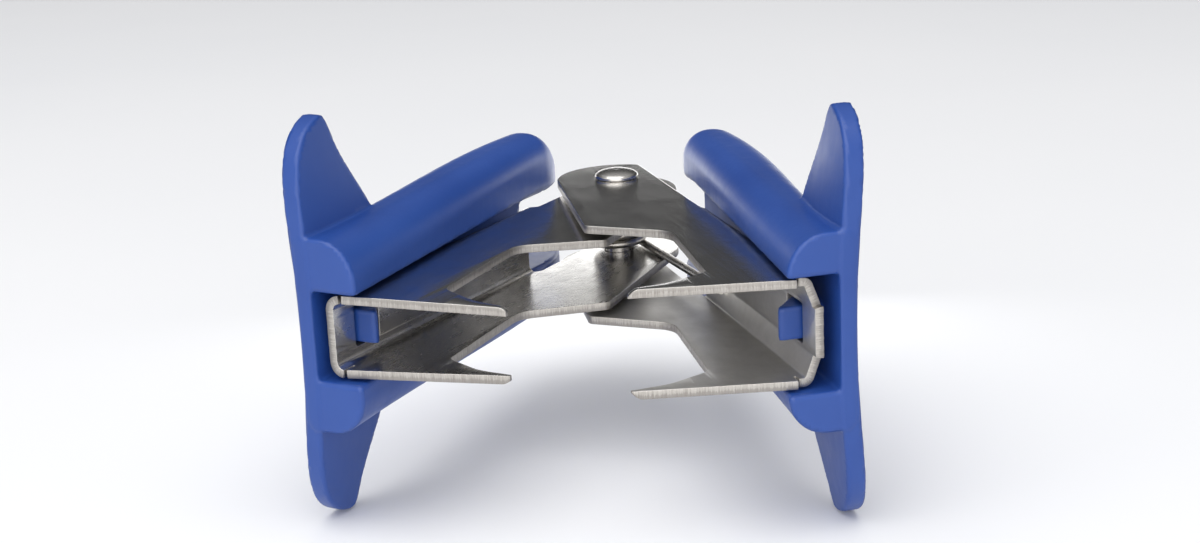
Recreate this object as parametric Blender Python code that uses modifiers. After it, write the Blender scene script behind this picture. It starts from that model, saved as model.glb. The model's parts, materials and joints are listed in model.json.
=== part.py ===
"""Jaw-type staple remover: two nested steel channels with fangs, two moulded finger grips,
the rivet that hinges them and the torsion spring that holds them open.

World frame: metres, +Z along the hinge, the fangs point to -Y and the jaws open along X.
Each jaw is drawn in its own frame on the hinge axis: p runs forward along the jaw, q towards
the other jaw, z along the hinge. All lengths below are millimetres.
"""
import math

import bmesh
import bpy

MM = 0.001

# Whole object
HALF_OPENING = 22.1          # degrees between each jaw and the mid-plane when the jaws are open
HINGE_Y = 17.92              # hinge axis behind the centre of the object
CLEARANCE = 0.3              # running and fitting gap

# Steel channels
SHEET = 0.8                  # sheet thickness
OUTER_BACK = 5.1             # hinge axis to the middle of the outer back plate's sheet
INNER_BACK = 5.4
OUTER_MID = 4.55             # half width between the middles of the outer jaw's cheeks
INNER_MID = 3.45             # the same for the inner jaw, at its back plate
INNER_TOE_IN = 0.025         # the inner cheeks lean together by this much per millimetre of q
INNER_BEND = 1.1             # bend radius of the inner jaw's corners
BEND_STEPS = 4
FACET_START = 2.25           # half width of the flat of the outer jaw's back plate
BACK_FRONT = 44.2            # front edge of the back plate
TAB_PROUD = 0.6              # the outer back plate's flat stands this far ahead of its facets
CHEEK_FRONT = 44.1           # front edge of the cheeks, at the corner slit
OUTER_SLIT = 3.4             # hinge line to the far side of the corner slits
INNER_SLIT = 4.4
SLIT_WIDTH = 0.25
SLIT_DEPTH = 1.5
FANG_TIP = (41.1, 11.0)
FANG_TIP_WIDTH = 0.4
# Corners of the mouth as (p, q, radius), from the fang to the lobe over the hinge
MOUTH = ((40.4, 7.4, 5.0), (38.4, 3.1, 1.3), (23.8, 1.6, 2.5), (18.4, 8.6, 0.9))
EAR_RADIUS = 6.3             # round rear end of the cheeks about the hinge
EAR_LOW = 3.9                # the cheeks behind the back plate end this far below the hinge
EAR_STEPS = 12
REAR_CORNER = 0.8            # round inner corner between the ear and the back plate
CHEEK_CORNER = 0.15
OUTER_BACK_REAR = 16.8       # rear edge of the outer jaw's back plate
INNER_BACK_REAR = 10.5
FACET_RISE = 0.75            # the facets come this much nearer the hinge line
CORNER_RISE, CORNER_IN = 0.35, 0.3   # flat across the corner from a facet to the cheek
CHANNEL_ENDS = (-10.0, 50.0)         # the bent sheet before it is trimmed
CHEEK_REACH = 13.0
TRIM_HALF = 10.0

# Grips
CATCH = 3.1                  # side of the snap catch, which is square seen from outside
CATCH_CENTRE = 39.3
CATCH_PROUD = 2.0            # the catch stands this far above the inside of its back plate
CATCH_LAND = 0.5             # flat on top of the catch, ahead of its ramp
CATCH_DROP = 2.2             # fall of the ramp
ROOTED = 0.5                 # how far the catch runs down into the body
POCKET_FLOOR = 6.7           # hinge line to the floor of the channel pocket
BODY_FRONT = 45.0
BODY_HALF = 9.0              # half height of the D-shaped body at its front face
BODY_FLARE = 0.8             # how much taller each half is at the rear
BODY_REAR = -2.6
BODY_ROUND_START = 3.5       # the rear end of the body is rounded from here
BODY_INNER_CORNER = (3.6, 2.7)       # radii of the D's corners, at the front and at the rear
BODY_OUTER_CORNER = (1.0, 3.6)
CORNER_STEPS = 4
BODY_STEPS = 9               # rings along the straight of the body
REAR_STEPS = 5               # rings round its rear end
REAR_CLOSE = 79.0            # degrees round the rear end where a small flat closes it
BODY_FACE = 7.0              # hinge axis to the inner face line of the body, at p = 0
BODY_FACE_RISE = 0.1123      # the face comes this much nearer per millimetre forward
OUTSIDE_FRONT = 8.1          # hinge line to the finger surface, at the front
OUTSIDE_SWELL = 5.2          # how much further out it is at the rear hump
SWELL_FRONT, SWELL_REAR = 45.0, 5.0
PADDLE_FRONT = 44.9
PADDLE_THICK = 1.8
PADDLE_PROUD = 0.25          # the paddle rises this much above the body at the front
PADDLE_HALF = 19.0           # half span of the wings
PADDLE_CORNER = 7.0          # depth of the rounded front corners of the wings
PADDLE_POWER = 6             # how square those corners are
PADDLE_WAIST = 32.0          # rear edge of the paddle, inside the body
PADDLE_SPANS, PADDLE_COLUMNS = 26, 8
PADDLE_TURN = 83.0           # degrees of sine spacing, which crowds the spans at the tips
WING_ROOT, WING_FLARE = 5.5, 12.5    # the wings' rear edge flares over this part of the span
WING_REAR = 38.0             # rear edge of the wings
WING_TIP, WING_TIP_RUN = 3.0, 0.9    # the last of the span, and how far its rear edge runs forward
WING_DISH = 0.0048           # the wings sweep outwards by this times z squared

# Hinge
RIVET_RADIUS = 1.3
RIVET_HEAD = 2.3
RIVET_DOME = 0.7
RIVET_RIM = 0.15             # straight edge of the head, under its dome
DOME_STEPS = 5
WIRE = 0.8
COIL_RADIUS = 2.5            # to the middle of the wire
COIL_TURNS = 5               # whole turns, besides the part turn between the legs
COIL_PITCH = 0.85
COIL_STEPS = 20              # straight pieces in a turn of the wire
LEG_REACH = 21.0             # the legs end this far ahead of the hinge

ROUND_STEPS = 32

BLUE = (0.018, 0.07, 0.31)


def reset_scene():
    for existing in list(bpy.data.objects):
        bpy.data.objects.remove(existing, do_unlink=True)


def collection(name):
    group = bpy.data.collections.new(name)
    bpy.context.scene.collection.children.link(group)
    return group


def material(name, colour, metallic, roughness):
    made = bpy.data.materials.new(name)
    made.use_nodes = True
    shader = made.node_tree.nodes["Principled BSDF"]
    shader.inputs["Base Color"].default_value = (*colour, 1.0)
    shader.inputs["Metallic"].default_value = metallic
    shader.inputs["Roughness"].default_value = roughness
    return made


def add_object(name, data, group, parent=None, look=None):
    made = bpy.data.objects.new(name, data)
    group.objects.link(made)
    made.parent = parent
    if look:
        made.data.materials.append(look)
    return made


def hide_cutter(cutter):
    cutter.hide_render = True
    cutter.display_type = 'WIRE'
    return cutter


def hinge_frame(name, angle, group):
    """An empty on the hinge axis, its +X along one jaw."""
    frame = bpy.data.objects.new(name, None)
    group.objects.link(frame)
    frame.location = (0.0, HINGE_Y * MM, 0.0)
    frame.rotation_euler = (0.0, 0.0, math.radians(angle))
    return frame


def arc(centre, radius, start, end, steps):
    """Points on an arc, angles in degrees."""
    turn = [math.radians(start + (end - start) * i / steps) for i in range(steps + 1)]
    return [(centre[0] + radius * math.cos(a), centre[1] + radius * math.sin(a)) for a in turn]


def rounded(corners, degrees_per_step=18.0):
    """A closed outline from (x, y, radius) corners, each radius drawn as an arc."""
    outline = []
    for i, (x, y, radius) in enumerate(corners):
        if radius == 0:
            outline.append((x, y))
            continue
        before, after = corners[i - 1], corners[(i + 1) % len(corners)]
        back = math.atan2(before[1] - y, before[0] - x)
        ahead = math.atan2(after[1] - y, after[0] - x)
        half = ((ahead - back + math.pi) % (2 * math.pi) - math.pi) / 2
        reach = radius / abs(math.sin(half))
        centre = (x + reach * math.cos(back + half), y + reach * math.sin(back + half))
        sweep = math.copysign(math.pi - 2 * abs(half), -half)
        first = math.atan2(y - centre[1], x - centre[0]) - sweep / 2
        steps = max(2, round(abs(math.degrees(sweep)) / degrees_per_step))
        outline += arc(centre, radius, math.degrees(first), math.degrees(first + sweep), steps)
    return outline


def curve_to_mesh(curve_object):
    """Swap a curve object for the welded mesh of its evaluated shape."""
    graph = bpy.context.evaluated_depsgraph_get()
    mesh = bpy.data.meshes.new_from_object(curve_object.evaluated_get(graph))
    shape = bmesh.new()
    shape.from_mesh(mesh)
    bmesh.ops.remove_doubles(shape, verts=shape.verts, dist=0.000001)
    bmesh.ops.recalc_face_normals(shape, faces=shape.faces)
    shape.to_mesh(mesh)
    shape.free()
    name, group, parent = curve_object.name, curve_object.users_collection[0], curve_object.parent
    bpy.data.objects.remove(curve_object, do_unlink=True)
    return add_object(name, mesh, group, parent)


def plate(name, outline, side, half_height, group, parent):
    """A prism with a (p, q) outline, centred on the mid-plane; side is +1 or -1 for q."""
    curve = bpy.data.curves.new(name, 'CURVE')
    curve.dimensions = '2D'
    curve.fill_mode = 'BOTH'
    curve.extrude = half_height * MM
    spline = curve.splines.new('POLY')
    spline.points.add(len(outline) - 1)
    for point, (p, q) in zip(spline.points, outline):
        point.co = (p * MM, side * q * MM, 0.0, 1.0)
    spline.use_cyclic_u = True
    made = add_object(name, curve, group, parent)
    bpy.context.view_layer.update()
    return curve_to_mesh(made)


def box(name, low, high, group, parent):
    """A block between two corners given in millimetres."""
    mesh = bpy.data.meshes.new(name)
    shape = bmesh.new()
    bmesh.ops.create_cube(shape, size=1.0)
    for vertex in shape.verts:
        vertex.co = [((a + b) / 2 + (b - a) * c) * MM for a, b, c in zip(low, high, vertex.co)]
    shape.to_mesh(mesh)
    shape.free()
    return add_object(name, mesh, group, parent)


def boolean(target, tool, operation):
    cut = target.modifiers.new(tool.name, 'BOOLEAN')
    cut.operation = operation
    cut.solver = 'EXACT'
    cut.object = hide_cutter(tool)


def shade(target, angle=30.0):
    """Smooth shading with sharp edges, on the applied shape."""
    graph = bpy.context.evaluated_depsgraph_get()
    mesh = bpy.data.meshes.new_from_object(target.evaluated_get(graph))
    mesh.shade_smooth()
    mesh.set_sharp_from_angle(angle=math.radians(angle))
    target.modifiers.clear()
    target.data = mesh


def grid_shell(name, rows, thickness, group, parent):
    """An open surface through rows of points, thickened on both sides of it."""
    mesh = bpy.data.meshes.new(name)
    shape = bmesh.new()
    lines = [[shape.verts.new([c * MM for c in point]) for point in row] for row in rows]
    for line, following in zip(lines, lines[1:]):
        for a, b, c, d in zip(line, line[1:], following[1:], following):
            shape.faces.new((a, b, c, d))
    bmesh.ops.recalc_face_normals(shape, faces=shape.faces)
    shape.to_mesh(mesh)
    shape.free()
    made = add_object(name, mesh, group, parent)
    solid = made.modifiers.new("Sheet", 'SOLIDIFY')
    solid.thickness = thickness * MM
    solid.offset = 0.0
    solid.use_even_offset = True
    return made


# ---------------------------------------------------------------- steel channels

def jaw_outline(back_rear, slit_outer):
    """Side view of a jaw: back plate, corner slit, fang, mouth and the ear round the hinge."""
    lobe = MOUTH[-1]
    lobe_angle = math.degrees(math.atan2(lobe[1], lobe[0])
                              + math.acos(EAR_RADIUS / math.hypot(lobe[0], lobe[1])))
    low_angle = 180.0 + math.degrees(math.asin(EAR_LOW / EAR_RADIUS))
    ear = arc((0, 0), EAR_RADIUS, lobe_angle, low_angle, EAR_STEPS)
    slit_rear, slit_inner = BACK_FRONT - SLIT_DEPTH, slit_outer - SLIT_WIDTH
    front = rounded([
        (back_rear, -EAR_LOW, REAR_CORNER),
        (back_rear, -TRIM_HALF, 0),
        (BACK_FRONT, -TRIM_HALF, 0),
        (BACK_FRONT, -slit_outer, 0),
        (slit_rear, -slit_outer, 0),
        (slit_rear, -slit_inner, 0),
        (CHEEK_FRONT, -slit_inner, CHEEK_CORNER),
        (*FANG_TIP, 0),
        (FANG_TIP[0] - FANG_TIP_WIDTH, FANG_TIP[1], 0),
        *MOUTH,
        (*ear[0], 0),
    ])[:-1]
    return front + ear


def outer_section():
    """Half of the outer jaw's cross-section as (q, z): flat back, facet, cheek."""
    facet_end = -OUTER_BACK + FACET_RISE
    return [(-OUTER_BACK, 0.0), (-OUTER_BACK, FACET_START), (facet_end, OUTER_MID - CORNER_IN),
            (facet_end + CORNER_RISE, OUTER_MID), (CHEEK_REACH, OUTER_MID)]


def inner_section():
    """Half of the inner jaw's cross-section: flat back, round bend, cheek that leans in."""
    bend = arc((-INNER_BACK + INNER_BEND, INNER_MID - INNER_BEND), INNER_BEND, 180, 90,
               BEND_STEPS)
    lean = INNER_TOE_IN * (CHEEK_REACH + INNER_BACK - INNER_BEND)
    return [(-INNER_BACK, 0.0)] + bend + [(CHEEK_REACH, INNER_MID - lean)]


def channel(name, half_section, side, group, parent):
    """The bent sheet before it is trimmed: the cross-section drawn along the jaw."""
    section = [(q, -z) for q, z in reversed(half_section[1:])] + half_section
    rows = [[(p, side * q, z) for q, z in section] for p in CHANNEL_ENDS]
    return grid_shell(name, rows, SHEET, group, parent)


def jaw(name, side, section, outline, look, parts, cutters, parent):
    steel = channel(name, section, side, parts, parent)
    steel.data.materials.append(look)
    trim = plate(name + "_outline", outline, side, TRIM_HALF, cutters, parent)
    boolean(steel, trim, 'INTERSECT')
    hole = cylinder(name + "_rivet_hole", RIVET_RADIUS + CLEARANCE, TRIM_HALF, cutters, parent)
    boolean(steel, hole, 'DIFFERENCE')
    half, back = CATCH / 2 + CLEARANCE, section[0][0]
    window = box(name + "_window", (CATCH_CENTRE - half, (back - SHEET) * side, -half),
                 (CATCH_CENTRE + half, (back + SHEET) * side, half), cutters, parent)
    make_outward(window)
    boolean(steel, window, 'DIFFERENCE')
    return steel


def trim_facets(steel, cutters, parent):
    """Cut the outer back plate's facets back, so that its flat stands proud as a tab."""
    for top in (1, -1):
        low, high = sorted((top * FACET_START, top * TRIM_HALF))
        notch = box("facet_trim_%s" % ("upper" if top > 0 else "lower"),
                    (BACK_FRONT - TAB_PROUD, OUTER_SLIT - SLIT_WIDTH / 2, low),
                    (CHANNEL_ENDS[1], TRIM_HALF, high), cutters, parent)
        boolean(steel, notch, 'DIFFERENCE')


def make_outward(target):
    shape = bmesh.new()
    shape.from_mesh(target.data)
    bmesh.ops.recalc_face_normals(shape, faces=shape.faces)
    shape.to_mesh(target.data)
    shape.free()


def cylinder(name, radius, half_height, group, parent):
    mesh = bpy.data.meshes.new(name)
    shape = bmesh.new()
    bmesh.ops.create_cone(shape, cap_ends=True, segments=ROUND_STEPS, radius1=radius * MM,
                          radius2=radius * MM, depth=2 * half_height * MM)
    shape.to_mesh(mesh)
    shape.free()
    return add_object(name, mesh, group, parent)


# ---------------------------------------------------------------- finger grips

def smooth_step(t):
    t = min(1.0, max(0.0, t))
    return t * t * (3 - 2 * t)


def finger_surface(p):
    """Hinge line to the outside of the grip on the mid-plane, at p."""
    return OUTSIDE_FRONT + OUTSIDE_SWELL * smooth_step((SWELL_FRONT - p)
                                                       / (SWELL_FRONT - SWELL_REAR))


def body_section(p, side):
    """One D-shaped ring of the grip's body: a rectangle in (q, z) with rounded corners."""
    inner, outer = -BODY_FACE + BODY_FACE_RISE * p, -finger_surface(p)
    back = smooth_step((BODY_FRONT - p) / (BODY_FRONT - BODY_ROUND_START))
    inner_radius, outer_radius = [front + (rear - front) * back
                                  for front, rear in (BODY_INNER_CORNER, BODY_OUTER_CORNER)]
    tall = BODY_HALF + BODY_FLARE * back
    middle, half, size = (inner + outer) / 2, (inner - outer) / 2, 1.0
    if p < BODY_ROUND_START:
        past = (BODY_ROUND_START - p) / (BODY_ROUND_START - BODY_REAR)
        size = math.sqrt(max(0.0, 1 - past * past))
    ring = []
    for turn, q_side, z_side in ((0, 1, 1), (90, -1, 1), (180, -1, -1), (270, 1, -1)):
        radius = inner_radius if q_side > 0 else outer_radius
        centre = (middle + q_side * (half - radius), z_side * (tall - radius))
        ring += arc(centre, radius, turn, turn + 90, CORNER_STEPS)
    return [(p, side * (middle + size * (q - middle)), size * z) for q, z in ring]


def grip_body(name, side, group, parent):
    """The D-shaped body, a loft whose rear end is rounded off."""
    ahead = [BODY_FRONT + (BODY_ROUND_START - BODY_FRONT) * i / BODY_STEPS
             for i in range(BODY_STEPS + 1)]
    turns = [math.radians(REAR_CLOSE * (i + 1) / REAR_STEPS) for i in range(REAR_STEPS)]
    rear = [BODY_ROUND_START + (BODY_REAR - BODY_ROUND_START) * math.sin(a) for a in turns]
    mesh = bpy.data.meshes.new(name)
    shape = bmesh.new()
    rings = [[shape.verts.new([c * MM for c in point]) for point in body_section(p, side)]
             for p in ahead + rear]
    for ring, following in zip(rings, rings[1:]):
        for i in range(len(ring)):
            j = (i + 1) % len(ring)
            shape.faces.new((ring[i], ring[j], following[j], following[i]))
    shape.faces.new(rings[0])
    shape.faces.new(rings[-1])
    bmesh.ops.recalc_face_normals(shape, faces=shape.faces)
    shape.to_mesh(mesh)
    shape.free()
    return add_object(name, mesh, group, parent)


def wing_front(z):
    """Front edge of the paddle: straight, then round corners on a superellipse."""
    corner = math.sqrt(max(0.0, 1 - (abs(z) / PADDLE_HALF) ** PADDLE_POWER))
    return PADDLE_FRONT - PADDLE_CORNER * (1 - corner)


def wing_rear(z):
    """Rear edge of the paddle: it flares from the body and rounds over at the tip."""
    flare = smooth_step((abs(z) - WING_ROOT) / WING_FLARE)
    tip = max(0.0, (abs(z) - PADDLE_HALF + WING_TIP) / WING_TIP)
    return PADDLE_WAIST + (WING_REAR - PADDLE_WAIST) * flare + WING_TIP_RUN * tip ** 3


def grip_paddle(name, side, group, parent):
    """The finger paddle: a dished plate with two wings."""
    rows = []
    for i in range(PADDLE_SPANS + 1):
        z = PADDLE_HALF * math.sin(math.radians(PADDLE_TURN * (2 * i / PADDLE_SPANS - 1)))
        front, rear = wing_front(z), wing_rear(z)
        row = []
        for j in range(PADDLE_COLUMNS + 1):
            p = rear + (front - rear) * j / PADDLE_COLUMNS
            proud = PADDLE_PROUD * (p - PADDLE_WAIST) / (PADDLE_FRONT - PADDLE_WAIST)
            middle = finger_surface(p) + proud - PADDLE_THICK / 2 + WING_DISH * z * z
            row.append((p, -side * middle, z))
        rows.append(row)
    return grid_shell(name, rows, PADDLE_THICK, group, parent)


def snap_catch(name, side, back, group, parent):
    """The catch that holds a grip in its jaw's window: an upright front and a ramp behind."""
    front, rear = CATCH_CENTRE + CATCH / 2, CATCH_CENTRE - CATCH / 2
    foot, top = POCKET_FLOOR + ROOTED, back - SHEET / 2 - CATCH_PROUD
    outline = [(front, -foot), (front, -top), (front - CATCH_LAND, -top),
               (rear, -top - CATCH_DROP), (rear, -foot)]
    return plate(name, outline, side, CATCH / 2, group, parent)


def grip(name, side, channel_half, back, look, parts, cutters, parent):
    paddle = grip_paddle(name + "_paddle", side, cutters, parent)
    body = grip_body(name, side, parts, parent)
    body.data.materials.append(look)
    boolean(body, paddle, 'UNION')
    half = channel_half + CLEARANCE
    pocket = box(name + "_pocket", (2 * CHANNEL_ENDS[0], -POCKET_FLOOR * side, -half),
                 (CHANNEL_ENDS[1], TRIM_HALF * side, half), cutters, parent)
    make_outward(pocket)
    boolean(body, pocket, 'DIFFERENCE')
    boolean(body, snap_catch(name + "_catch", side, back, cutters, parent), 'UNION')
    return body


# ---------------------------------------------------------------- rivet and spring

def rivet(name, look, group, parent):
    """A rivet with a domed head on each side, turned from its outer profile."""
    seat = OUTER_MID + SHEET / 2 + CLEARANCE
    turns = [math.radians(90 * i / DOME_STEPS) for i in range(DOME_STEPS + 1)]
    dome = [(RIVET_HEAD * math.sin(a), seat + RIVET_RIM + RIVET_DOME * math.cos(a))
            for a in turns]
    upper = dome + [(RIVET_HEAD, seat), (RIVET_RADIUS, seat)]
    profile = upper + [(r, -z) for r, z in reversed(upper)]
    mesh = bpy.data.meshes.new(name)
    mesh.from_pydata([(r * MM, 0.0, z * MM) for r, z in profile],
                     [(i, i + 1) for i in range(len(profile) - 1)], [])
    made = add_object(name, mesh, group, parent, look)
    turn = made.modifiers.new("Turned", 'SCREW')
    turn.steps = turn.render_steps = ROUND_STEPS
    turn.use_merge_vertices = True
    turn.merge_threshold = 0.00001
    return made


def spring_path():
    """The spring's centre line: one leg to each back plate and the coil between them."""
    sweep = 360.0 * COIL_TURNS + 180.0 - 2 * HALF_OPENING
    top = COIL_PITCH * sweep / 360.0 / 2

    def leg_end(side, z):
        """The free end, against the inside of the back plate on that side (-1 left, 1 right)."""
        back = OUTER_BACK if side > 0 else INNER_BACK
        wall = back - SHEET / 2 - CLEARANCE - WIRE / 2
        lean = math.radians(HALF_OPENING)
        return (side * (LEG_REACH * math.sin(lean) + wall * math.cos(lean)),
                -LEG_REACH * math.cos(lean) + wall * math.sin(lean), z)

    points = [leg_end(-1, top)]
    steps = COIL_TURNS * COIL_STEPS
    for i in range(steps + 1):
        turn = math.radians(180.0 - HALF_OPENING - sweep * i / steps)
        points.append((COIL_RADIUS * math.cos(turn), COIL_RADIUS * math.sin(turn),
                       top - 2 * top * i / steps))
    points.append(leg_end(1, -top))
    return points


def spring(name, look, group):
    curve = bpy.data.curves.new(name, 'CURVE')
    curve.dimensions = '3D'
    curve.bevel_depth = WIRE / 2 * MM
    curve.bevel_resolution = 2
    curve.use_fill_caps = True
    points = spring_path()
    spline = curve.splines.new('POLY')
    spline.points.add(len(points) - 1)
    for point, place in zip(spline.points, points):
        point.co = (*[c * MM for c in place], 1.0)
    made = add_object(name, curve, group, None, look)
    made.location = (0.0, HINGE_Y * MM, 0.0)
    return made


def build():
    reset_scene()
    parts = collection("staple_remover")
    cutters = collection("cutters")
    steel = material("nickel_plated_steel", (0.62, 0.61, 0.59), 1.0, 0.22)
    steel_inner = material("nickel_plated_steel_inner", (0.60, 0.59, 0.57), 1.0, 0.22)
    plastic = material("blue_plastic", BLUE, 0.0, 0.35)
    plastic_inner = material("blue_plastic_inner", BLUE, 0.0, 0.35)
    rivet_steel = material("rivet_steel", (0.50, 0.49, 0.48), 1.0, 0.3)
    spring_steel = material("spring_steel", (0.35, 0.34, 0.33), 1.0, 0.35)

    outer_frame = hinge_frame("outer_jaw_hinge", -90.0 + HALF_OPENING, parts)
    inner_frame = hinge_frame("inner_jaw_hinge", -90.0 - HALF_OPENING, parts)

    outer = jaw("outer_jaw", -1, outer_section(), jaw_outline(OUTER_BACK_REAR, OUTER_SLIT),
                steel, parts, cutters, outer_frame)
    trim_facets(outer, cutters, outer_frame)
    inner = jaw("inner_jaw", 1, inner_section(), jaw_outline(INNER_BACK_REAR, INNER_SLIT),
                steel_inner, parts, cutters, inner_frame)
    outer_grip = grip("outer_grip", -1, OUTER_MID + SHEET / 2, OUTER_BACK, plastic, parts,
                      cutters, outer_frame)
    inner_grip = grip("inner_grip", 1, INNER_MID + SHEET / 2, INNER_BACK, plastic_inner, parts,
                      cutters, inner_frame)
    pin = rivet("pivot_rivet", rivet_steel, parts, outer_frame)
    spring("torsion_spring", spring_steel, parts)

    bpy.context.view_layer.update()
    for piece in (outer, inner, outer_grip, inner_grip, pin):
        shade(piece)


build()
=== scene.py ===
"""The looks of the staple remover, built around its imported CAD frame.

Lengths below are millimetres in a jaw's own frame on the hinge axis: p runs forward along the jaw,
q towards the other jaw and z along the hinge. side is +1 for the inner jaw (left, its q is local +Y)
and -1 for the outer jaw (right, its q is local -Y).
"""

import json
import math
from dataclasses import dataclass

import bmesh
import bpy
import numpy as np
from mathutils import Matrix, Vector


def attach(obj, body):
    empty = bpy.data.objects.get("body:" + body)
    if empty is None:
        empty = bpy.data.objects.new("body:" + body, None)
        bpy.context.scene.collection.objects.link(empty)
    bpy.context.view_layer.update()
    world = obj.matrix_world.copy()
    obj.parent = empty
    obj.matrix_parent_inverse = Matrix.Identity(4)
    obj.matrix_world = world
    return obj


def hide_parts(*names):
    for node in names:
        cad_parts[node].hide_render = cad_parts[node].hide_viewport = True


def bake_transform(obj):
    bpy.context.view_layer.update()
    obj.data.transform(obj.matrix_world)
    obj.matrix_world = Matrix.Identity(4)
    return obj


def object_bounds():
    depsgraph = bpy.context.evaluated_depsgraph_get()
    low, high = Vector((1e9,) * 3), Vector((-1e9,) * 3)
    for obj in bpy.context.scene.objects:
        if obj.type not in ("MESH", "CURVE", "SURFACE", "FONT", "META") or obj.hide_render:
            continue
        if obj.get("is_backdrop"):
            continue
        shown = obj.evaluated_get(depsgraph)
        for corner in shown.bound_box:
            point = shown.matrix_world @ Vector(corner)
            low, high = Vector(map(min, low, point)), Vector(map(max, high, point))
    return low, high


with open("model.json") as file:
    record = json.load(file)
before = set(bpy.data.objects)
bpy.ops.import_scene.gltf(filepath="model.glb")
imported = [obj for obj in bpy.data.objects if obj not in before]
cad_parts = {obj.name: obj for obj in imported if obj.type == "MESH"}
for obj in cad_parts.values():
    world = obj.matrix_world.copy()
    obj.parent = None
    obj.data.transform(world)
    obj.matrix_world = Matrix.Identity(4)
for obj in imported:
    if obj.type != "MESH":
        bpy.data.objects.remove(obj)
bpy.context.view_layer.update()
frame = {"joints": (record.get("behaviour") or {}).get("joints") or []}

MM = 0.001
HINGE = Vector(frame["joints"][0]["pos_m"])
HALF_OPENING = 22.1          # degrees from each jaw to the mid-plane
OUTER, INNER = -1, 1         # the two sides
SHARP_ANGLE = 50             # degrees: steeper edges of the steel are shaded sharp

# Steel channels
SHEET = 0.8
OUTER_BACK, INNER_BACK = 5.1, 5.4    # hinge axis to the middle of each back plate's sheet
OUTER_CHEEK_Z = 4.55         # mid-plane to the middle of each outer cheek's sheet
FACET_START = 2.25           # half width of the flat of the outer back plate
FACET_ANGLE = 20.6           # degrees from that flat to its facets
FACET_BEND, CORNER_BEND = 1.0, 0.6
INNER_FLAT, INNER_BEND, INNER_LEAN = 2.35, 1.1, 1.43
CHEEK_RUN = 30.0             # straight run past the last bend of a section, longer than any cheek
BACK_FRONT = 44.2
CHEEK_FRONT = 44.1
SLIT_DEPTH, SLIT_WIDTH = 1.5, 0.22
FANG_TIP, FANG_TIP_WIDTH = (41.1, 11.0), 0.4
# Corners of the mouth as (p, q, radius), from the fang to the lobe over the hinge
MOUTH = ((40.4, 7.4, 5.0), (38.4, 3.1, 1.3), (23.8, 1.6, 2.5), (18.4, 8.6, 0.9))
EAR_RADIUS, EAR_LOW, REAR_CORNER = 6.3, 3.9, 0.8
SLIT_ROUND, CHEEK_ROUND, TIP_ROUND, WINDOW_ROUND = 0.1, 0.15, 0.12, 0.3
RIVET_HOLE = 1.6
EAR_STEP, HOLE_STEP = 5.0, 6.0   # degrees between the points of the ears and of the rivet holes
RIM = 0.07                   # radius of the rubbed edges of the sheet
RIM_STEP = 0.25              # spacing of the points along a sheared edge
SHEAR_WANDER, TAB_WANDER = 0.012, 0.05   # how far an edge strays, and how far the tab's front does
TAB_EDGE = 0.1               # points this near the front of the back plate are on the tab's edge
TIP_RINGS = (1.0, 0.75, 0.5, 0.3, 0.15)  # where the mesh is cut across a ground tip, as shares of it
BLANK_WELD, CUT_SNAP = 0.0005, 0.0001
FACE_UP = 0.9                # a face this square to the blank's plane is plated, any other is sheared
FLAT_WEIGHT = 60             # how far the flats, not the bends, decide the shading

# Moulded grips
FIT_GAP = 0.3                # between a grip and its channel, and round the catch in its window
CATCH, CATCH_CENTRE = 3.1, 39.3
CATCH_PROUD, CATCH_LAND, CATCH_DROP, CATCH_ROOT = 2.0, 0.5, 2.2, 1.0
OUTER_POCKET, INNER_POCKET = 5.25, 4.15  # half width of the pocket for each channel
POCKET_FLOOR = 6.7
REAR_SLOT = 9.0              # behind this the body is open between the cheeks, right through
BODY_FRONT, BODY_REAR, BODY_ROUND_START = 44.97, -2.6, 3.5
BODY_FACE, BODY_FACE_RISE = 7.0, 0.1123
BODY_HALF, BODY_FLARE = 9.0, 0.8
BODY_INNER_CORNER = (3.6, 2.7)           # radii of the D's corners, at the front and at the rear
BODY_OUTER_CORNER = (1.0, 3.6)
OUTSIDE_FRONT, OUTSIDE_SWELL = 8.1, 5.2
SWELL_FRONT, SWELL_REAR = 45.0, 5.0
PADDLE_FRONT, PADDLE_THICK, PADDLE_PROUD = 44.97, 1.8, 0.25
PADDLE_HALF, PADDLE_CORNER, PADDLE_POWER = 18.97, 7.0, 6
PADDLE_WAIST, WING_ROOT, WING_FLARE, WING_REAR = 32.0, 5.5, 12.5, 38.0
WING_TIP, WING_TIP_RUN, WING_DISH = 3.0, 0.9, 0.0048
MOULD_EDGE = 0.3             # radius of the moulded outside edges
PADDLE_EDGE, PADDLE_FILLET = 0.6, 0.3
POCKET_CORNER, SLOT_CORNER, POCKET_EDGE = 0.35, 0.8, 0.3
CATCH_EDGE, CATCH_FILLET = 0.25, 0.2
MOULD_NEAR, MOULD_FAR = 0.5, 17.0        # a grip lies between these distances from the hinge line
MOULD_STEP = 0.36            # size of the moulded surface's mesh
SETTLE_PASSES, LEAST_SLOPE = 4, 0.05     # for moving the mesh's points onto the surface
REAR_LIMIT, TIP_LIMIT = 0.995, 0.999     # just short of 1, where the rear end and the wings close

# Hinge
RIVET_SHANK, RIVET_HEAD, RIVET_DOME = 1.5, 2.3, 0.95
RIVET_SEAT_GAP, RIVET_RIM, RIVET_ROUND = 0.02, 0.2, 0.08
RIVET_DIMPLE = (0.06, 0.02)  # how far the middle of the head sinks, and the ring round it
DOME_STEP, RIVET_STEPS, RIVET_SHARP = 6, 64, 40
WIRE, COIL_RADIUS, COIL_TURNS, COIL_PITCH, LEG_REACH = 0.86, 2.5, 5, 0.89, 21.0
LEG_GAP = 0.05               # between a spring leg and the back plate
COIL_STEP, WIRE_ROUNDNESS = 10, 4

# Studio
FLOOR_REACH, FLOOR_DROP = 3.0, 0.0002    # metres: half the floor's side, and its gap below the object
ROOM_TINT = (0.98, 0.985, 1.0)
ROOM_TURN = 0.25             # how far to each side of the middle the room goes from front to behind

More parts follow.
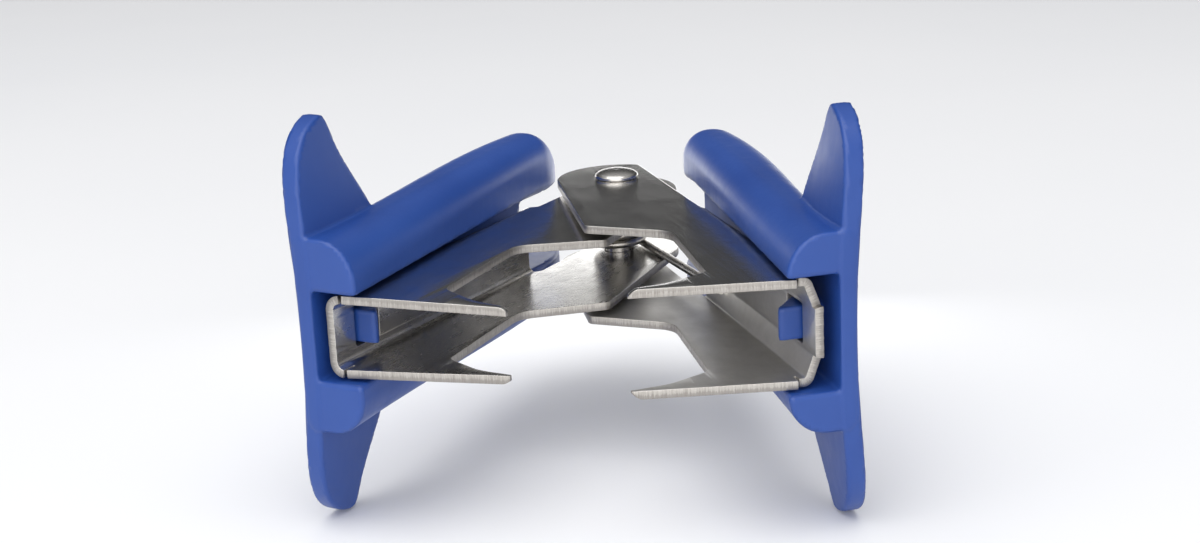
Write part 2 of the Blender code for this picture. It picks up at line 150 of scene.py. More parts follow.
# Camera, from the photo's perspective
CAMERA_AIM = Vector((-0.00203, 0.01626, -0.00495))
CAMERA_DISTANCE = 0.20192
CAMERA_AZIMUTH, CAMERA_ELEVATION, CAMERA_ROLL = 7.06, 15.81, 2.62
CAMERA_LENS, CAMERA_SENSOR = 56.68, 36.0


def hinge_matrix(side):
    """A jaw's own frame: on the hinge, with +X along that jaw."""
    turn = math.radians(-90.0 - side * HALF_OPENING)
    return Matrix.Translation(HINGE) @ Matrix.Rotation(turn, 4, 'Z')


def body_name(side):
    return "inner_half" if side > 0 else "outer_half"


def smooth_step(t):
    t = np.clip(t, 0.0, 1.0)
    return t * t * (3 - 2 * t)


# ---------------------------------------------------------------- node helpers

class Nodes:
    """Short calls for building one material's node tree."""

    def __init__(self, name, **constants):
        self.material = bpy.data.materials.new(name)
        self.material.use_nodes = True
        self.tree = self.material.node_tree
        self.shader = self.tree.nodes["Principled BSDF"]
        for socket, value in constants.items():
            self.shader.inputs[socket.replace("_", " ")].default_value = value

    def add(self, kind, **settings):
        node = self.tree.nodes.new("ShaderNode" + kind)
        for key, value in settings.items():
            if hasattr(node, key):
                setattr(node, key, value)
            else:
                node.inputs[key].default_value = value
        return node

    def link(self, output, target):
        self.tree.links.new(output, target)

    def scaled(self, vector, scale):
        node = self.add("Mapping")
        node.inputs["Scale"].default_value = scale
        self.link(vector, node.inputs["Vector"])
        return node.outputs["Vector"]

    def noise(self, vector, scale, detail=3.0, roughness=0.55):
        node = self.add("TexNoise", Scale=scale, Detail=detail, Roughness=roughness)
        self.link(vector, node.inputs["Vector"])
        return node.outputs["Fac"]

    def ramp(self, value, *stops):
        """stops: (position, grey or colour)."""
        node = self.add("ValToRGB")
        elements = node.color_ramp.elements
        while len(elements) < len(stops):
            elements.new(0.5)
        for element, (position, tone) in zip(elements, stops):
            element.position = position
            element.color = (tone, tone, tone, 1.0) if isinstance(tone, float) else (*tone, 1.0)
        self.link(value, node.inputs["Fac"])
        return node.outputs["Color"]

    def span(self, value, low, high, from_low=0.3, from_high=0.7):
        node = self.add("MapRange")
        for socket, number in zip(("From Min", "From Max", "To Min", "To Max"),
                                  (from_low, from_high, low, high)):
            node.inputs[socket].default_value = number
        self.link(value, node.inputs["Value"])
        return node.outputs["Result"]

    def math(self, operation, a, b):
        node = self.add("Math", operation=operation)
        for socket, value in zip(node.inputs, (a, b)):
            if isinstance(value, (int, float)):
                socket.default_value = value
            else:
                self.link(value, socket)
        return node.outputs["Value"]

    def mix(self, factor, a, b):
        node = self.add("Mix", data_type='RGBA')
        self.link(factor, node.inputs[0])
        for socket, value in ((node.inputs[6], a), (node.inputs[7], b)):
            if isinstance(value, tuple):
                socket.default_value = (*value, 1.0)
            else:
                self.link(value, socket)
        return node.outputs[2]

    def bump(self, height, strength, distance, under=None):
        node = self.add("Bump", Strength=strength, Distance=distance)
        self.link(height, node.inputs["Height"])
        if under:
            self.link(under, node.inputs["Normal"])
        return node.outputs["Normal"]

    def to(self, socket, output):
        self.link(output, self.shader.inputs[socket])


def attribute(nodes, name):
    """A place stored on the mesh: in the flat steel blank, or in the jaw's own frame, millimetres."""
    return nodes.add("Attribute", attribute_name=name).outputs["Vector"]


def object_position(nodes):
    return nodes.add("TexCoord").outputs["Object"]


# ---------------------------------------------------------------- materials

def nickel_plate(name, inside_dull):
    """Nickel plate over rolled sheet: streaks, scratches and smudges, and duller inside the channel."""
    nodes = Nodes(name, Metallic=1.0)
    place = attribute(nodes, "blank")
    streaks = nodes.noise(nodes.scaled(place, (0.12, 3.0, 1.0)), 1.0, 3.0, 0.5)
    scratches = nodes.noise(nodes.scaled(place, (6.0, 0.35, 1.0)), 2.2, 2.0)
    peel = nodes.noise(place, 1.4, 2.0)
    smudge = nodes.noise(place, 0.22, 4.0, 0.65)
    clean, dulled = (0.70, 0.685, 0.66), (0.56, 0.545, 0.52)
    nodes.to("Base Color", nodes.mix(nodes.span(smudge, 0.0, 1.0), clean, dulled))
    through = nodes.add("SeparateXYZ")
    nodes.link(place, through.inputs["Vector"])
    inside = nodes.span(through.outputs["Z"], inside_dull, 0.0, -0.2, 0.2)
    rough = nodes.math('ADD', nodes.span(streaks, 0.12, 0.17), nodes.span(smudge, 0.0, 0.09))
    nodes.to("Roughness", nodes.math('ADD', rough, inside))
    fine = nodes.bump(peel, 0.14, 0.00006)
    grooves = nodes.bump(streaks, 0.03, 0.00002, fine)
    nodes.to("Normal", nodes.bump(scratches, 0.03, 0.00001, grooves))
    return nodes.material


def sheared_edge(name):
    """The cut edge of the sheet: a burnished band, then a torn one with marks across the sheet."""
    nodes = Nodes(name, Metallic=1.0)
    place = attribute(nodes, "blank")
    across = nodes.noise(nodes.scaled(place, (6.0, 6.0, 0.5)), 1.0, 4.0, 0.7)
    grain = nodes.noise(place, 9.0, 3.0)
    through = nodes.add("SeparateXYZ")
    nodes.link(place, through.inputs["Vector"])
    ragged = nodes.math('ADD', through.outputs["Z"], nodes.span(across, -0.22, 0.22))
    torn = nodes.ramp(nodes.span(ragged, 0.0, 1.0, -0.4, 0.4), (0.46, 1.0), (0.56, 0.0))
    colour = nodes.mix(torn, (0.38, 0.36, 0.335), (0.54, 0.515, 0.48))
    marked = nodes.mix(nodes.span(across, 0.0, 0.42, 0.42, 0.62), colour, (0.26, 0.235, 0.21))
    nodes.to("Base Color", nodes.mix(nodes.span(grain, 0.0, 0.3), marked, (0.34, 0.31, 0.28)))
    rough = nodes.math('ADD', nodes.span(across, 0.36, 0.52), nodes.math('MULTIPLY', torn, 0.12))
    nodes.to("Roughness", rough)
    marks = nodes.bump(across, 0.5, 0.00006)
    nodes.to("Normal", nodes.bump(grain, 0.25, 0.00003, marks))
    return nodes.material


def blue_plastic(name):
    """Semi-gloss moulded plastic with a fine tool texture, faint flow marks and worn patches."""
    nodes = Nodes(name, Metallic=0.0, IOR=1.49)
    place = attribute(nodes, "jaw_frame")
    flow = nodes.noise(nodes.scaled(place, (0.06, 0.16, 0.11)), 1.0, 3.0)
    texture = nodes.noise(place, 5.2, 2.0)
    handling = nodes.noise(nodes.scaled(place, (0.5, 0.5, 0.2)), 1.0, 5.0, 0.7)
    tint = nodes.mix(nodes.span(flow, 0.0, 1.0), (0.015, 0.056, 0.26), (0.021, 0.070, 0.30))
    nodes.to("Base Color", tint)
    rough = nodes.math('ADD', nodes.span(flow, 0.30, 0.36), nodes.span(handling, 0.0, 0.12))
    nodes.to("Roughness", rough)
    skin = nodes.bump(texture, 0.10, 0.00003)
    nodes.to("Normal", nodes.bump(flow, 0.10, 0.0003, skin))
    return nodes.material


def rivet_steel():
    """Nickel-plated rivet, its heads spun over in rings."""
    nodes = Nodes("rivet_steel", Metallic=1.0)
    place = object_position(nodes)
    apart = nodes.add("SeparateXYZ")
    nodes.link(place, apart.inputs["Vector"])
    squares = [nodes.math('MULTIPLY', apart.outputs[axis], apart.outputs[axis]) for axis in "XY"]
    radius = nodes.math('POWER', nodes.math('ADD', *squares), 0.5)
    ring = nodes.add("CombineXYZ")
    nodes.link(radius, ring.inputs["X"])
    rings = nodes.noise(ring.outputs["Vector"], 9000.0, 2.0)
    wear = nodes.noise(place, 900.0, 4.0)
    nodes.to("Base Color", nodes.mix(nodes.span(wear, 0.0, 1.0), (0.62, 0.60, 0.57), (0.45, 0.43, 0.41)))
    nodes.to("Roughness", nodes.math('ADD', nodes.span(rings, 0.14, 0.26), nodes.span(wear, 0.0, 0.1)))
    nodes.to("Normal", nodes.bump(rings, 0.25, 0.00003))
    return nodes.material


def spring_wire():
    """Drawn spring wire: long die lines and a little oil darkening."""
    nodes = Nodes("spring_wire", Metallic=1.0)
    place = object_position(nodes)
    lines = nodes.noise(nodes.scaled(place, (1.0, 1.0, 5.0)), 1500.0, 4.0, 0.6)
    stain = nodes.noise(place, 500.0, 3.0)
    nodes.to("Base Color", nodes.mix(nodes.span(stain, 0.0, 1.0), (0.60, 0.58, 0.55), (0.42, 0.40, 0.37)))
    nodes.to("Roughness", nodes.math('ADD', nodes.span(lines, 0.18, 0.30), nodes.span(stain, 0.0, 0.1)))
    nodes.to("Normal", nodes.bump(lines, 0.2, 0.00002))
    return nodes.material


# ---------------------------------------------------------------- bent steel sheet

class Section:
    """The middle of the sheet across a jaw: flats and bends in turn, from the back plate's middle."""

    def __init__(self, back, runs):
        """runs: (length, degrees turned over it), the last one long enough for the cheek."""
        self.runs, start = [], (0.0, -back, 0.0, 0.0)
        for length, degrees in runs:
            self.runs.append((start, length, math.radians(degrees) / length))
            q, z, heading = self.along(start, self.runs[-1][2], length)
            start = (start[0] + length, q, z, heading)
        self.cheek_u, self.cheek_q = self.runs[-1][0][:2]

    @staticmethod
    def along(start, curl, distance):
        """(q, z, heading) that far from the start of a run; heading turns from +z towards +q."""
        _, q, z, heading = start
        turned = heading + curl * distance
        if curl == 0:
            return q + distance * math.sin(heading), z + distance * math.cos(heading), turned
        return (q + (math.cos(heading) - math.cos(turned)) / curl,
                z + (math.sin(turned) - math.sin(heading)) / curl, turned)

    def place(self, u, outward):
        """(q, z) of a point of the blank, at u across it and outward from the sheet's middle."""
        start, _, curl = next(run for run in reversed(self.runs) if abs(u) >= run[0][0])
        q, z, heading = self.along(start, curl, abs(u) - start[0])
        q, z = q - math.cos(heading) * outward, z + math.sin(heading) * outward
        return q, math.copysign(z, u)

    def u_at(self, q):
        """Blank coordinate of a point q along the cheek."""
        return self.cheek_u + q - self.cheek_q

    def fold_lines(self, degrees=9.0):
        """Blank coordinates where the mesh is cut, so that each bend is round."""
        lines = set()
        for (u, *_), length, curl in self.runs[:-1]:
            steps = max(1, math.ceil(abs(math.degrees(curl * length)) / degrees))
            lines.update(round(u + length * i / steps, 4) for i in range(steps + 1))
        return sorted(lines - {0.0})


def outer_section():
    facet = math.radians(FACET_ANGLE)
    first = FACET_BEND * math.tan(facet / 2)
    second = CORNER_BEND * math.tan((math.pi / 2 - facet) / 2)
    sloped = (OUTER_CHEEK_Z - FACET_START) / math.cos(facet)
    return Section(OUTER_BACK, [
        (FACET_START - first, 0.0), (FACET_BEND * facet, FACET_ANGLE), (sloped - first - second, 0.0),
        (CORNER_BEND * (math.pi / 2 - facet), 90.0 - FACET_ANGLE), (CHEEK_RUN, 0.0)])


def inner_section():
    bend = 90.0 + INNER_LEAN
    return Section(INNER_BACK, [
        (INNER_FLAT, 0.0), (INNER_BEND * math.radians(bend), bend), (CHEEK_RUN, 0.0)])


@dataclass
class Jaw:
    name: str
    side: int
    section: Section
    back_rear: float         # rear edge of the back plate
    slit: float              # hinge line to the far side of the corner slits
    tab_proud: float         # how far the middle of the back plate stands ahead of its sides
    tab_half: float
    tip_length: float        # the fang tips are ground thinner over this length
    tip_keep: float          # share of the sheet left at the tip
    seed: int


def arc(centre, radius, start, end, step=9.0):
    """Points on an arc, angles in degrees."""
    count = max(2, math.ceil(abs(end - start) / step))
    turn = [math.radians(start + (end - start) * i / count) for i in range(count + 1)]
    return [(centre[0] + radius * math.cos(a), centre[1] + radius * math.sin(a)) for a in turn]


def rounded(corners):
    """A closed outline from (x, y, radius) corners, each radius drawn as an arc."""
    outline = []
    for i, (x, y, radius) in enumerate(corners):
        if radius == 0:
            outline.append((x, y))
            continue
        before, after = corners[i - 1], corners[(i + 1) % len(corners)]
        back = math.atan2(before[1] - y, before[0] - x)
        ahead = math.atan2(after[1] - y, after[0] - x)
        half = ((ahead - back + math.pi) % (2 * math.pi) - math.pi) / 2
        reach = radius / abs(math.sin(half))
        centre = (x + reach * math.cos(back + half), y + reach * math.sin(back + half))
        sweep = math.copysign(math.pi - 2 * abs(half), -half)
        first = math.atan2(y - centre[1], x - centre[0]) - sweep / 2
        outline += arc(centre, radius, math.degrees(first), math.degrees(first + sweep))
    return outline


def half_outline(jaw):
    """Half of the blank's outline as (p, u), from the middle of its front edge to its rear one."""
    u = jaw.section.u_at
    slit_low, slit_high = u(-jaw.slit), u(-jaw.slit + SLIT_WIDTH)
    side_front = BACK_FRONT - jaw.tab_proud
    lobe = MOUTH[-1]
    lobe_angle = math.degrees(math.atan2(lobe[1], lobe[0])
                              + math.acos(EAR_RADIUS / math.hypot(lobe[0], lobe[1])))
    low_angle = 180.0 + math.degrees(math.asin(EAR_LOW / EAR_RADIUS))
    ear = arc((0, u(0.0)), EAR_RADIUS, lobe_angle, low_angle, EAR_STEP)
    tab = [(BACK_FRONT, 0.0, 0), (BACK_FRONT, jaw.tab_half, 0), (side_front, jaw.tab_half, 0)]
    front = rounded(tab + [
        (side_front, slit_low, SLIT_ROUND),
        (BACK_FRONT - SLIT_DEPTH, slit_low, 0),
        (BACK_FRONT - SLIT_DEPTH, slit_high, 0),
        (CHEEK_FRONT, slit_high, CHEEK_ROUND),
        (FANG_TIP[0], u(FANG_TIP[1]), TIP_ROUND),
        (FANG_TIP[0] - FANG_TIP_WIDTH, u(FANG_TIP[1]), TIP_ROUND),
        *[(p, u(q), radius) for p, q, radius in MOUTH],
        (*ear[0], 0),
    ])[:-1]
    rear = rounded([(ear[-1][0], ear[-1][1], 0), (jaw.back_rear, u(-EAR_LOW), REAR_CORNER),
                    (jaw.back_rear, 0.0, 0)])[1:]
    return front + ear + rear


def with_shear(points, jaw):
    """The closed outline with points all along it, each a hair off the line as shearing leaves it."""
    random = np.random.RandomState(jaw.seed)
    dense = []
    for a, b in zip(points, points[1:] + points[:1]):
        a, b = np.array(a), np.array(b)
        count = max(1, round(np.linalg.norm(b - a) / RIM_STEP))
        dense += [a + (b - a) * i / count for i in range(count)]
    dense = np.array(dense)
    tangent = np.roll(dense, -1, 0) - np.roll(dense, 1, 0)
    tangent /= np.linalg.norm(tangent, axis=1)[:, None]
    normal = np.stack([tangent[:, 1], -tangent[:, 0]], 1)
    on_tab = (dense[:, 0] > BACK_FRONT - TAB_EDGE) & (jaw.tab_proud > 0)
    wander = np.where(on_tab, TAB_WANDER, SHEAR_WANDER)
    return dense + normal * (random.uniform(-1, 1, len(dense)) * wander)[:, None]


def blank(jaw):
    """The flat blank as a bmesh of (p, u, outward), in millimetres, with rubbed edges."""
    half = half_outline(jaw)
    outline = half + [(p, -u) for p, u in reversed(half[1:-1])]
    hinge_u = jaw.section.u_at(0.0)
    window = CATCH / 2 + FIT_GAP
    loops = [with_shear(outline, jaw)]
    loops += [arc((0.0, sign * hinge_u), RIVET_HOLE, 0, 360 - HOLE_STEP, HOLE_STEP)
              for sign in (1, -1)]
    loops.append(rounded([(CATCH_CENTRE + x * window, y * window, WINDOW_ROUND)
                          for x, y in ((1, 1), (-1, 1), (-1, -1), (1, -1))]))
    curve = bpy.data.curves.new("blank", 'CURVE')
    curve.dimensions = '2D'
    curve.fill_mode = 'BOTH'
    curve.bevel_depth = RIM
    curve.bevel_resolution = 1
    curve.extrude = SHEET / 2 - RIM
    curve.offset = -RIM
    for loop in loops:
        spline = curve.splines.new('POLY')
        spline.points.add(len(loop) - 1)
        for point, (x, y) in zip(spline.points, loop):
            point.co = (x, y, 0.0, 1.0)
        spline.use_cyclic_u = True
    holder = bpy.data.objects.new("blank", curve)
    bpy.context.scene.collection.objects.link(holder)
    bpy.context.view_layer.update()
    mesh = bpy.data.meshes.new_from_object(holder.evaluated_get(bpy.context.evaluated_depsgraph_get()))
    shape = bmesh.new()
    shape.from_mesh(mesh)
    bmesh.ops.remove_doubles(shape, verts=shape.verts, dist=BLANK_WELD)
    bpy.data.objects.remove(holder, do_unlink=True)
    bpy.data.curves.remove(curve)
    bpy.data.meshes.remove(mesh)
    return shape


def cut_line(shape, place, direction):
    """Cut the blank's mesh along a line in its plane."""
    everything = shape.verts[:] + shape.edges[:] + shape.faces[:]
    bmesh.ops.bisect_plane(shape, geom=everything, dist=CUT_SNAP,
                           plane_co=(*place, 0.0), plane_no=(*direction, 0.0))


def bent_jaw(jaw, looks):
    """The jaw folded from its blank: looks are the plated surface and the sheared edge."""
    shape = blank(jaw)
    shape.faces.ensure_lookup_table()
    shape.normal_update()
    for face in shape.faces:
        face.material_index = 0 if abs(face.normal.z) > FACE_UP else 1
    for u in jaw.section.fold_lines():
        for sign in (1, -1):
            cut_line(shape, (0.0, sign * u), (0.0, 1.0))
    tip_u = jaw.section.u_at(FANG_TIP[1])
    for sign in (1, -1):
        for share in TIP_RINGS:
            cut_line(shape, (0.0, sign * (tip_u - jaw.tip_length * share)), (0.0, 1.0))
    marks = shape.verts.layers.float_vector.new("blank")
    for vertex in shape.verts:
        p, u, outward = vertex.co
        vertex[marks] = (p, u, outward)
        ground = max(0.0, (abs(u) - tip_u) / jaw.tip_length + 1.0)
        kept = 1.0 - (1.0 - jaw.tip_keep) * ground ** 2
        outward = (outward + SHEET / 2) * kept - SHEET / 2
        q, z = jaw.section.place(u, outward)
        vertex.co = (p * MM, jaw.side * q * MM, z * MM)
    bmesh.ops.recalc_face_normals(shape, faces=shape.faces)
    mesh = bpy.data.meshes.new(jaw.name)
    shape.to_mesh(mesh)
    shape.free()
    for look in looks:
        mesh.materials.append(look)
    mesh.shade_smooth()
    mesh.set_sharp_from_angle(angle=math.radians(SHARP_ANGLE))
    mesh.transform(hinge_matrix(jaw.side))
    made = bpy.data.objects.new(jaw.name, mesh)
    bpy.context.scene.collection.objects.link(made)
    flat = made.modifiers.new("Flat faces", 'WEIGHTED_NORMAL')
    flat.keep_sharp = True
    flat.weight = FLAT_WEIGHT
    return made


# ---------------------------------------------------------------- moulded grips

def round_both(a, b, radius):
    """Inside both fields, with a rounded edge where they meet."""
    outside = np.hypot(np.maximum(a + radius, 0), np.maximum(b + radius, 0))
    return outside + np.minimum(np.maximum(a, b) + radius, 0) - radius


def round_either(a, b, radius):
    """Inside either field, with a fillet where they meet."""
    return -round_both(-a, -b, radius)


def finger_surface(p):
    """Hinge line to the outside of the grip on the mid-plane, at p."""
    return OUTSIDE_FRONT + OUTSIDE_SWELL * smooth_step((SWELL_FRONT - p) / (SWELL_FRONT - SWELL_REAR))


def body_field(p, d, z):
    """The D-shaped body: round corners towards the steel, a rounded rear end."""
    back = smooth_step((BODY_FRONT - p) / (BODY_FRONT - BODY_ROUND_START))
    inner, outer = BODY_FACE - BODY_FACE_RISE * p, finger_surface(p)
    past = np.clip((BODY_ROUND_START - p) / (BODY_ROUND_START - BODY_REAR), 0.0, REAR_LIMIT)
    size = np.sqrt(1 - past * past)
    middle, half = (inner + outer) / 2, (outer - inner) / 2
    x, y = (d - middle) / size, np.abs(z) / size
    tall = BODY_HALF + BODY_FLARE * back
    inner_corner, outer_corner = [front + (rear - front) * back
                                  for front, rear in (BODY_INNER_CORNER, BODY_OUTER_CORNER)]
    towards = round_both(-x - half, y - tall, inner_corner)
    away = round_both(x - half, y - tall, outer_corner)
    ring = np.maximum(towards, away) * size
    return round_both(ring, np.maximum(p - BODY_FRONT, BODY_REAR - p), MOULD_EDGE)


def paddle_field(p, d, z):
    """The finger paddle: a dished plate with two wings and rounded edges."""
    tip = np.clip(np.abs(z) / PADDLE_HALF, 0, TIP_LIMIT)
    corner = (1 - tip ** PADDLE_POWER) ** 0.5
    front = PADDLE_FRONT - PADDLE_CORNER * (1 - corner)
    slope = PADDLE_CORNER * PADDLE_POWER / 2 * tip ** (PADDLE_POWER - 1) / corner / PADDLE_HALF
    along = np.clip((np.abs(z) - WING_ROOT) / WING_FLARE, 0, 1)
    over = np.maximum(0.0, (np.abs(z) - PADDLE_HALF + WING_TIP) / WING_TIP)
    rear = (PADDLE_WAIST + (WING_REAR - PADDLE_WAIST) * smooth_step(along)
            + WING_TIP_RUN * over ** 3)
    steep = ((WING_REAR - PADDLE_WAIST) * 6 * along * (1 - along) / WING_FLARE
             + 3 * WING_TIP_RUN * over ** 2 / WING_TIP)
    proud = PADDLE_PROUD * (p - PADDLE_WAIST) / (PADDLE_FRONT - PADDLE_WAIST)
    middle = finger_surface(p) + proud - PADDLE_THICK / 2 + WING_DISH * z * z
    lean = np.sqrt(1 + (2 * WING_DISH * z) ** 2)
    plate = np.abs(d - middle) / lean - PADDLE_THICK / 2
    edge = round_both((p - front) / np.hypot(1, slope), (rear - p) / np.hypot(1, steep), PADDLE_EDGE)
    return round_both(plate, edge, MOULD_EDGE)


def catch_field(p, d, z, back):
    """The snap catch: square seen from outside, with an upright front and a ramp behind it."""
    front, rear = CATCH_CENTRE + CATCH / 2, CATCH_CENTRE - CATCH / 2
    run, top = front - CATCH_LAND - rear, back - SHEET / 2 - CATCH_PROUD
    ramp = ((front - CATCH_LAND - p) * CATCH_DROP - (d - top) * run) / math.hypot(run, CATCH_DROP)
    height = np.maximum(np.maximum(ramp, top - d), d - POCKET_FLOOR - CATCH_ROOT)
    square = round_both(np.maximum(p - front, rear - p), np.abs(z) - CATCH / 2, CATCH_EDGE)
    return round_both(square, height, CATCH_EDGE)


def grip_field(pocket_half, back):
    """A whole grip: body and paddle, less the pocket and the rear slot, with the catch."""
    def field(p, d, z):
        solid = round_either(body_field(p, d, z), paddle_field(p, d, z), PADDLE_FILLET)
        pocket = round_both(np.abs(z) - pocket_half, d - POCKET_FLOOR, POCKET_CORNER)
        slot = round_both(np.abs(z) - pocket_half + FIT_GAP, p - REAR_SLOT, SLOT_CORNER)
        solid = round_both(solid, -np.minimum(pocket, slot), POCKET_EDGE)
        return round_either(solid, catch_field(p, d, z, back), CATCH_FILLET)
    return field


def gradient(field, points, step=0.01):
    """The field's slope along each axis, at rows of points."""
    slopes = []
    for axis in range(3):
        shift = np.zeros(3)
        shift[axis] = step
        slopes.append((field(*(points + shift).T) - field(*(points - shift).T)) / (2 * step))
    return np.stack(slopes, 1)


def surface_of(field, low, high, step):
    """Vertices, outward normals and quads of the field's zero surface.

    Each grid cell that the surface crosses gets one vertex, moved onto the surface, and each grid
    edge that it crosses joins the four cells around it.
    """
    grid = np.meshgrid(*[np.arange(a, b + step, step) for a, b in zip(low, high)], indexing='ij')
    value = field(*grid)
    inside = value < 0
    cells = tuple(n - 1 for n in value.shape)
    total, count = np.zeros((3, *cells)), np.zeros(cells)

    def corner(array, offset):
        return array[tuple(slice(o, o + n) for o, n in zip(offset, cells))]

    for axis in range(3):
        for others in ((0, 0), (0, 1), (1, 0), (1, 1)):
            near = np.insert(others, axis, 0)
            far = np.insert(others, axis, 1)
            a, b = corner(value, near), corner(value, far)
            crossed = (a < 0) != (b < 0)
            share = np.where(crossed, a / np.where(crossed, a - b, 1.0), 0.0)
            for k in range(3):
                total[k] += np.where(crossed, near[k] + (share if k == axis else 0.0), 0.0)
            count += crossed
    used = count > 0
    number = np.full(cells, -1)
    number[used] = np.arange(used.sum())
    points = np.argwhere(used) + (total[:, used] / count[used]).T
    points = np.array(low) + points * step
    for _ in range(SETTLE_PASSES):
        slope = gradient(field, points)
        square = np.maximum((slope ** 2).sum(1), LEAST_SLOPE)
        move = field(*points.T)[:, None] * slope / square[:, None]
        points -= np.clip(move, -step / 2, step / 2)

    faces = []
    for axis in range(3):
        b, c = (axis + 1) % 3, (axis + 2) % 3
        first = inside.take(range(inside.shape[axis] - 1), axis)
        second = inside.take(range(1, inside.shape[axis]), axis)
        for leaving in (True, False):
            edges = np.argwhere((first != second) & (first == leaving))
            ring = []
            for shift_b, shift_c in ((-1, -1), (0, -1), (0, 0), (-1, 0)):
                cell = edges.copy()
                cell[:, b] += shift_b
                cell[:, c] += shift_c
                ring.append(number[tuple(cell.T)])
            quads = np.stack(ring, 1)
            faces.append(quads if leaving else quads[:, ::-1])
    normals = gradient(field, points)
    normals /= np.linalg.norm(normals, axis=1)[:, None]
    return points, normals, np.concatenate(faces)


def moulded_grip(name, side, pocket_half, back, look):
    """One grip, in its jaw's frame: d is the distance outwards from the hinge line."""
    points, normals, faces = surface_of(
        grip_field(pocket_half, back), (BODY_REAR - 1, MOULD_NEAR, -PADDLE_HALF - 1),
        (PADDLE_FRONT + 1, MOULD_FAR, PADDLE_HALF + 1), MOULD_STEP)
    flip = np.array((1.0, -side, 1.0))
    if side > 0:
        faces = faces[:, ::-1]
    place = hinge_matrix(side)
    mesh = bpy.data.meshes.new(name)
    mesh.from_pydata((points * flip * MM).tolist(), [], faces.tolist())
    mesh.transform(place)
    mesh.shade_smooth()
    turned = normals * flip @ np.array(place.to_3x3()).T
    mesh.normals_split_custom_set_from_vertices(turned.tolist())
    marks = mesh.attributes.new("jaw_frame", 'FLOAT_VECTOR', 'POINT')
    marks.data.foreach_set("vector", points.ravel())
    mesh.materials.append(look)
    made = bpy.data.objects.new(name, mesh)
    bpy.context.scene.collection.objects.link(made)
    return made


# ---------------------------------------------------------------- rivet and spring

def rivet(look):
    """A rivet with a low domed head, spun over against each outer cheek."""
    seat = OUTER_CHEEK_Z + SHEET / 2 + RIVET_SEAT_GAP
    dome = [(RIVET_HEAD * math.sin(math.radians(a)),
             seat + RIVET_RIM + (RIVET_DOME - RIVET_RIM) * math.cos(math.radians(a)))
            for a in range(0, 91, DOME_STEP)]
    dome[:2] = [(r, z - sunk) for (r, z), sunk in zip(dome, RIVET_DIMPLE)]
    rim = [(RIVET_HEAD, seat + RIVET_ROUND), (RIVET_HEAD - RIVET_ROUND, seat), (RIVET_SHANK, seat)]
    upper = dome + rim
    profile = upper + [(r, -z) for r, z in reversed(upper)]
    mesh = bpy.data.meshes.new("hinge_rivet")
    mesh.from_pydata([(r * MM, 0.0, z * MM) for r, z in profile],
                     [(i, i + 1) for i in range(len(profile) - 1)], [])
    mesh.materials.append(look)
    made = bpy.data.objects.new("hinge_rivet", mesh)
    bpy.context.scene.collection.objects.link(made)
    made.location = HINGE
    turn = made.modifiers.new("Turned", 'SCREW')
    turn.steps = turn.render_steps = RIVET_STEPS
    turn.use_merge_vertices = True
    turn.merge_threshold = 0.000005
    turn.use_smooth_shade = True
    edges = made.modifiers.new("Rim", 'EDGE_SPLIT')
    edges.split_angle = math.radians(RIVET_SHARP)
    return made


def leg_foot(back):
    """A leg's free end on its back plate, drawn on the right, and the angle where it leaves the coil."""
    wall = back - SHEET / 2 - LEG_GAP - WIRE / 2
    lean = math.radians(HALF_OPENING)
    foot = Vector((LEG_REACH * math.sin(lean) + wall * math.cos(lean),
                   -LEG_REACH * math.cos(lean) + wall * math.sin(lean)))
    return foot, math.atan2(foot.y, foot.x) + math.acos(COIL_RADIUS / foot.length)


def spring_path():
    """The spring's centre line about the hinge: a leg along each back plate, and the coil."""
    right, right_turn = leg_foot(OUTER_BACK)
    left, left_turn = leg_foot(INNER_BACK)
    sweep = 2 * math.pi * COIL_TURNS + math.pi - left_turn - right_turn
    top = COIL_PITCH * sweep / (2 * math.pi) / 2
    points = []
    count = round(sweep / math.radians(COIL_STEP))
    for i in range(count + 1):
        turn = math.pi - left_turn - sweep * i / count
        points.append((COIL_RADIUS * math.cos(turn), COIL_RADIUS * math.sin(turn),
                       top - 2 * top * i / count))
    return [(-left.x, left.y, top)] + points + [(right.x, right.y, -top)], top


def spring(look):
    points, top = spring_path()
    curve = bpy.data.curves.new("torsion_wire", 'CURVE')
    curve.dimensions = '3D'
    curve.bevel_depth = WIRE / 2 * MM
    curve.bevel_resolution = WIRE_ROUNDNESS
    curve.use_fill_caps = True
    spline = curve.splines.new('POLY')
    spline.points.add(len(points) - 1)
    for point, place in zip(spline.points, points):
        point.co = (*(Vector(place) * MM + HINGE), 1.0)
    holder = bpy.data.objects.new("torsion_wire", curve)
    bpy.context.scene.collection.objects.link(holder)
    bpy.context.view_layer.update()
    mesh = bpy.data.meshes.new_from_object(holder.evaluated_get(bpy.context.evaluated_depsgraph_get()))
    bpy.data.objects.remove(holder, do_unlink=True)
    shape = bmesh.new()
    shape.from_mesh(mesh)
    bmesh.ops.remove_doubles(shape, verts=shape.verts, dist=0.000001)
    bmesh.ops.recalc_face_normals(shape, faces=shape.faces)
    shape.to_mesh(mesh)
    shape.free()
    mesh.materials.clear()
    mesh.materials.append(look)
    mesh.shade_smooth()
    mesh.set_sharp_from_angle(angle=math.radians(SHARP_ANGLE))
    made = bpy.data.objects.new("torsion_wire", mesh)
    bpy.context.scene.collection.objects.link(made)
    return made, top


# ---------------------------------------------------------------- studio

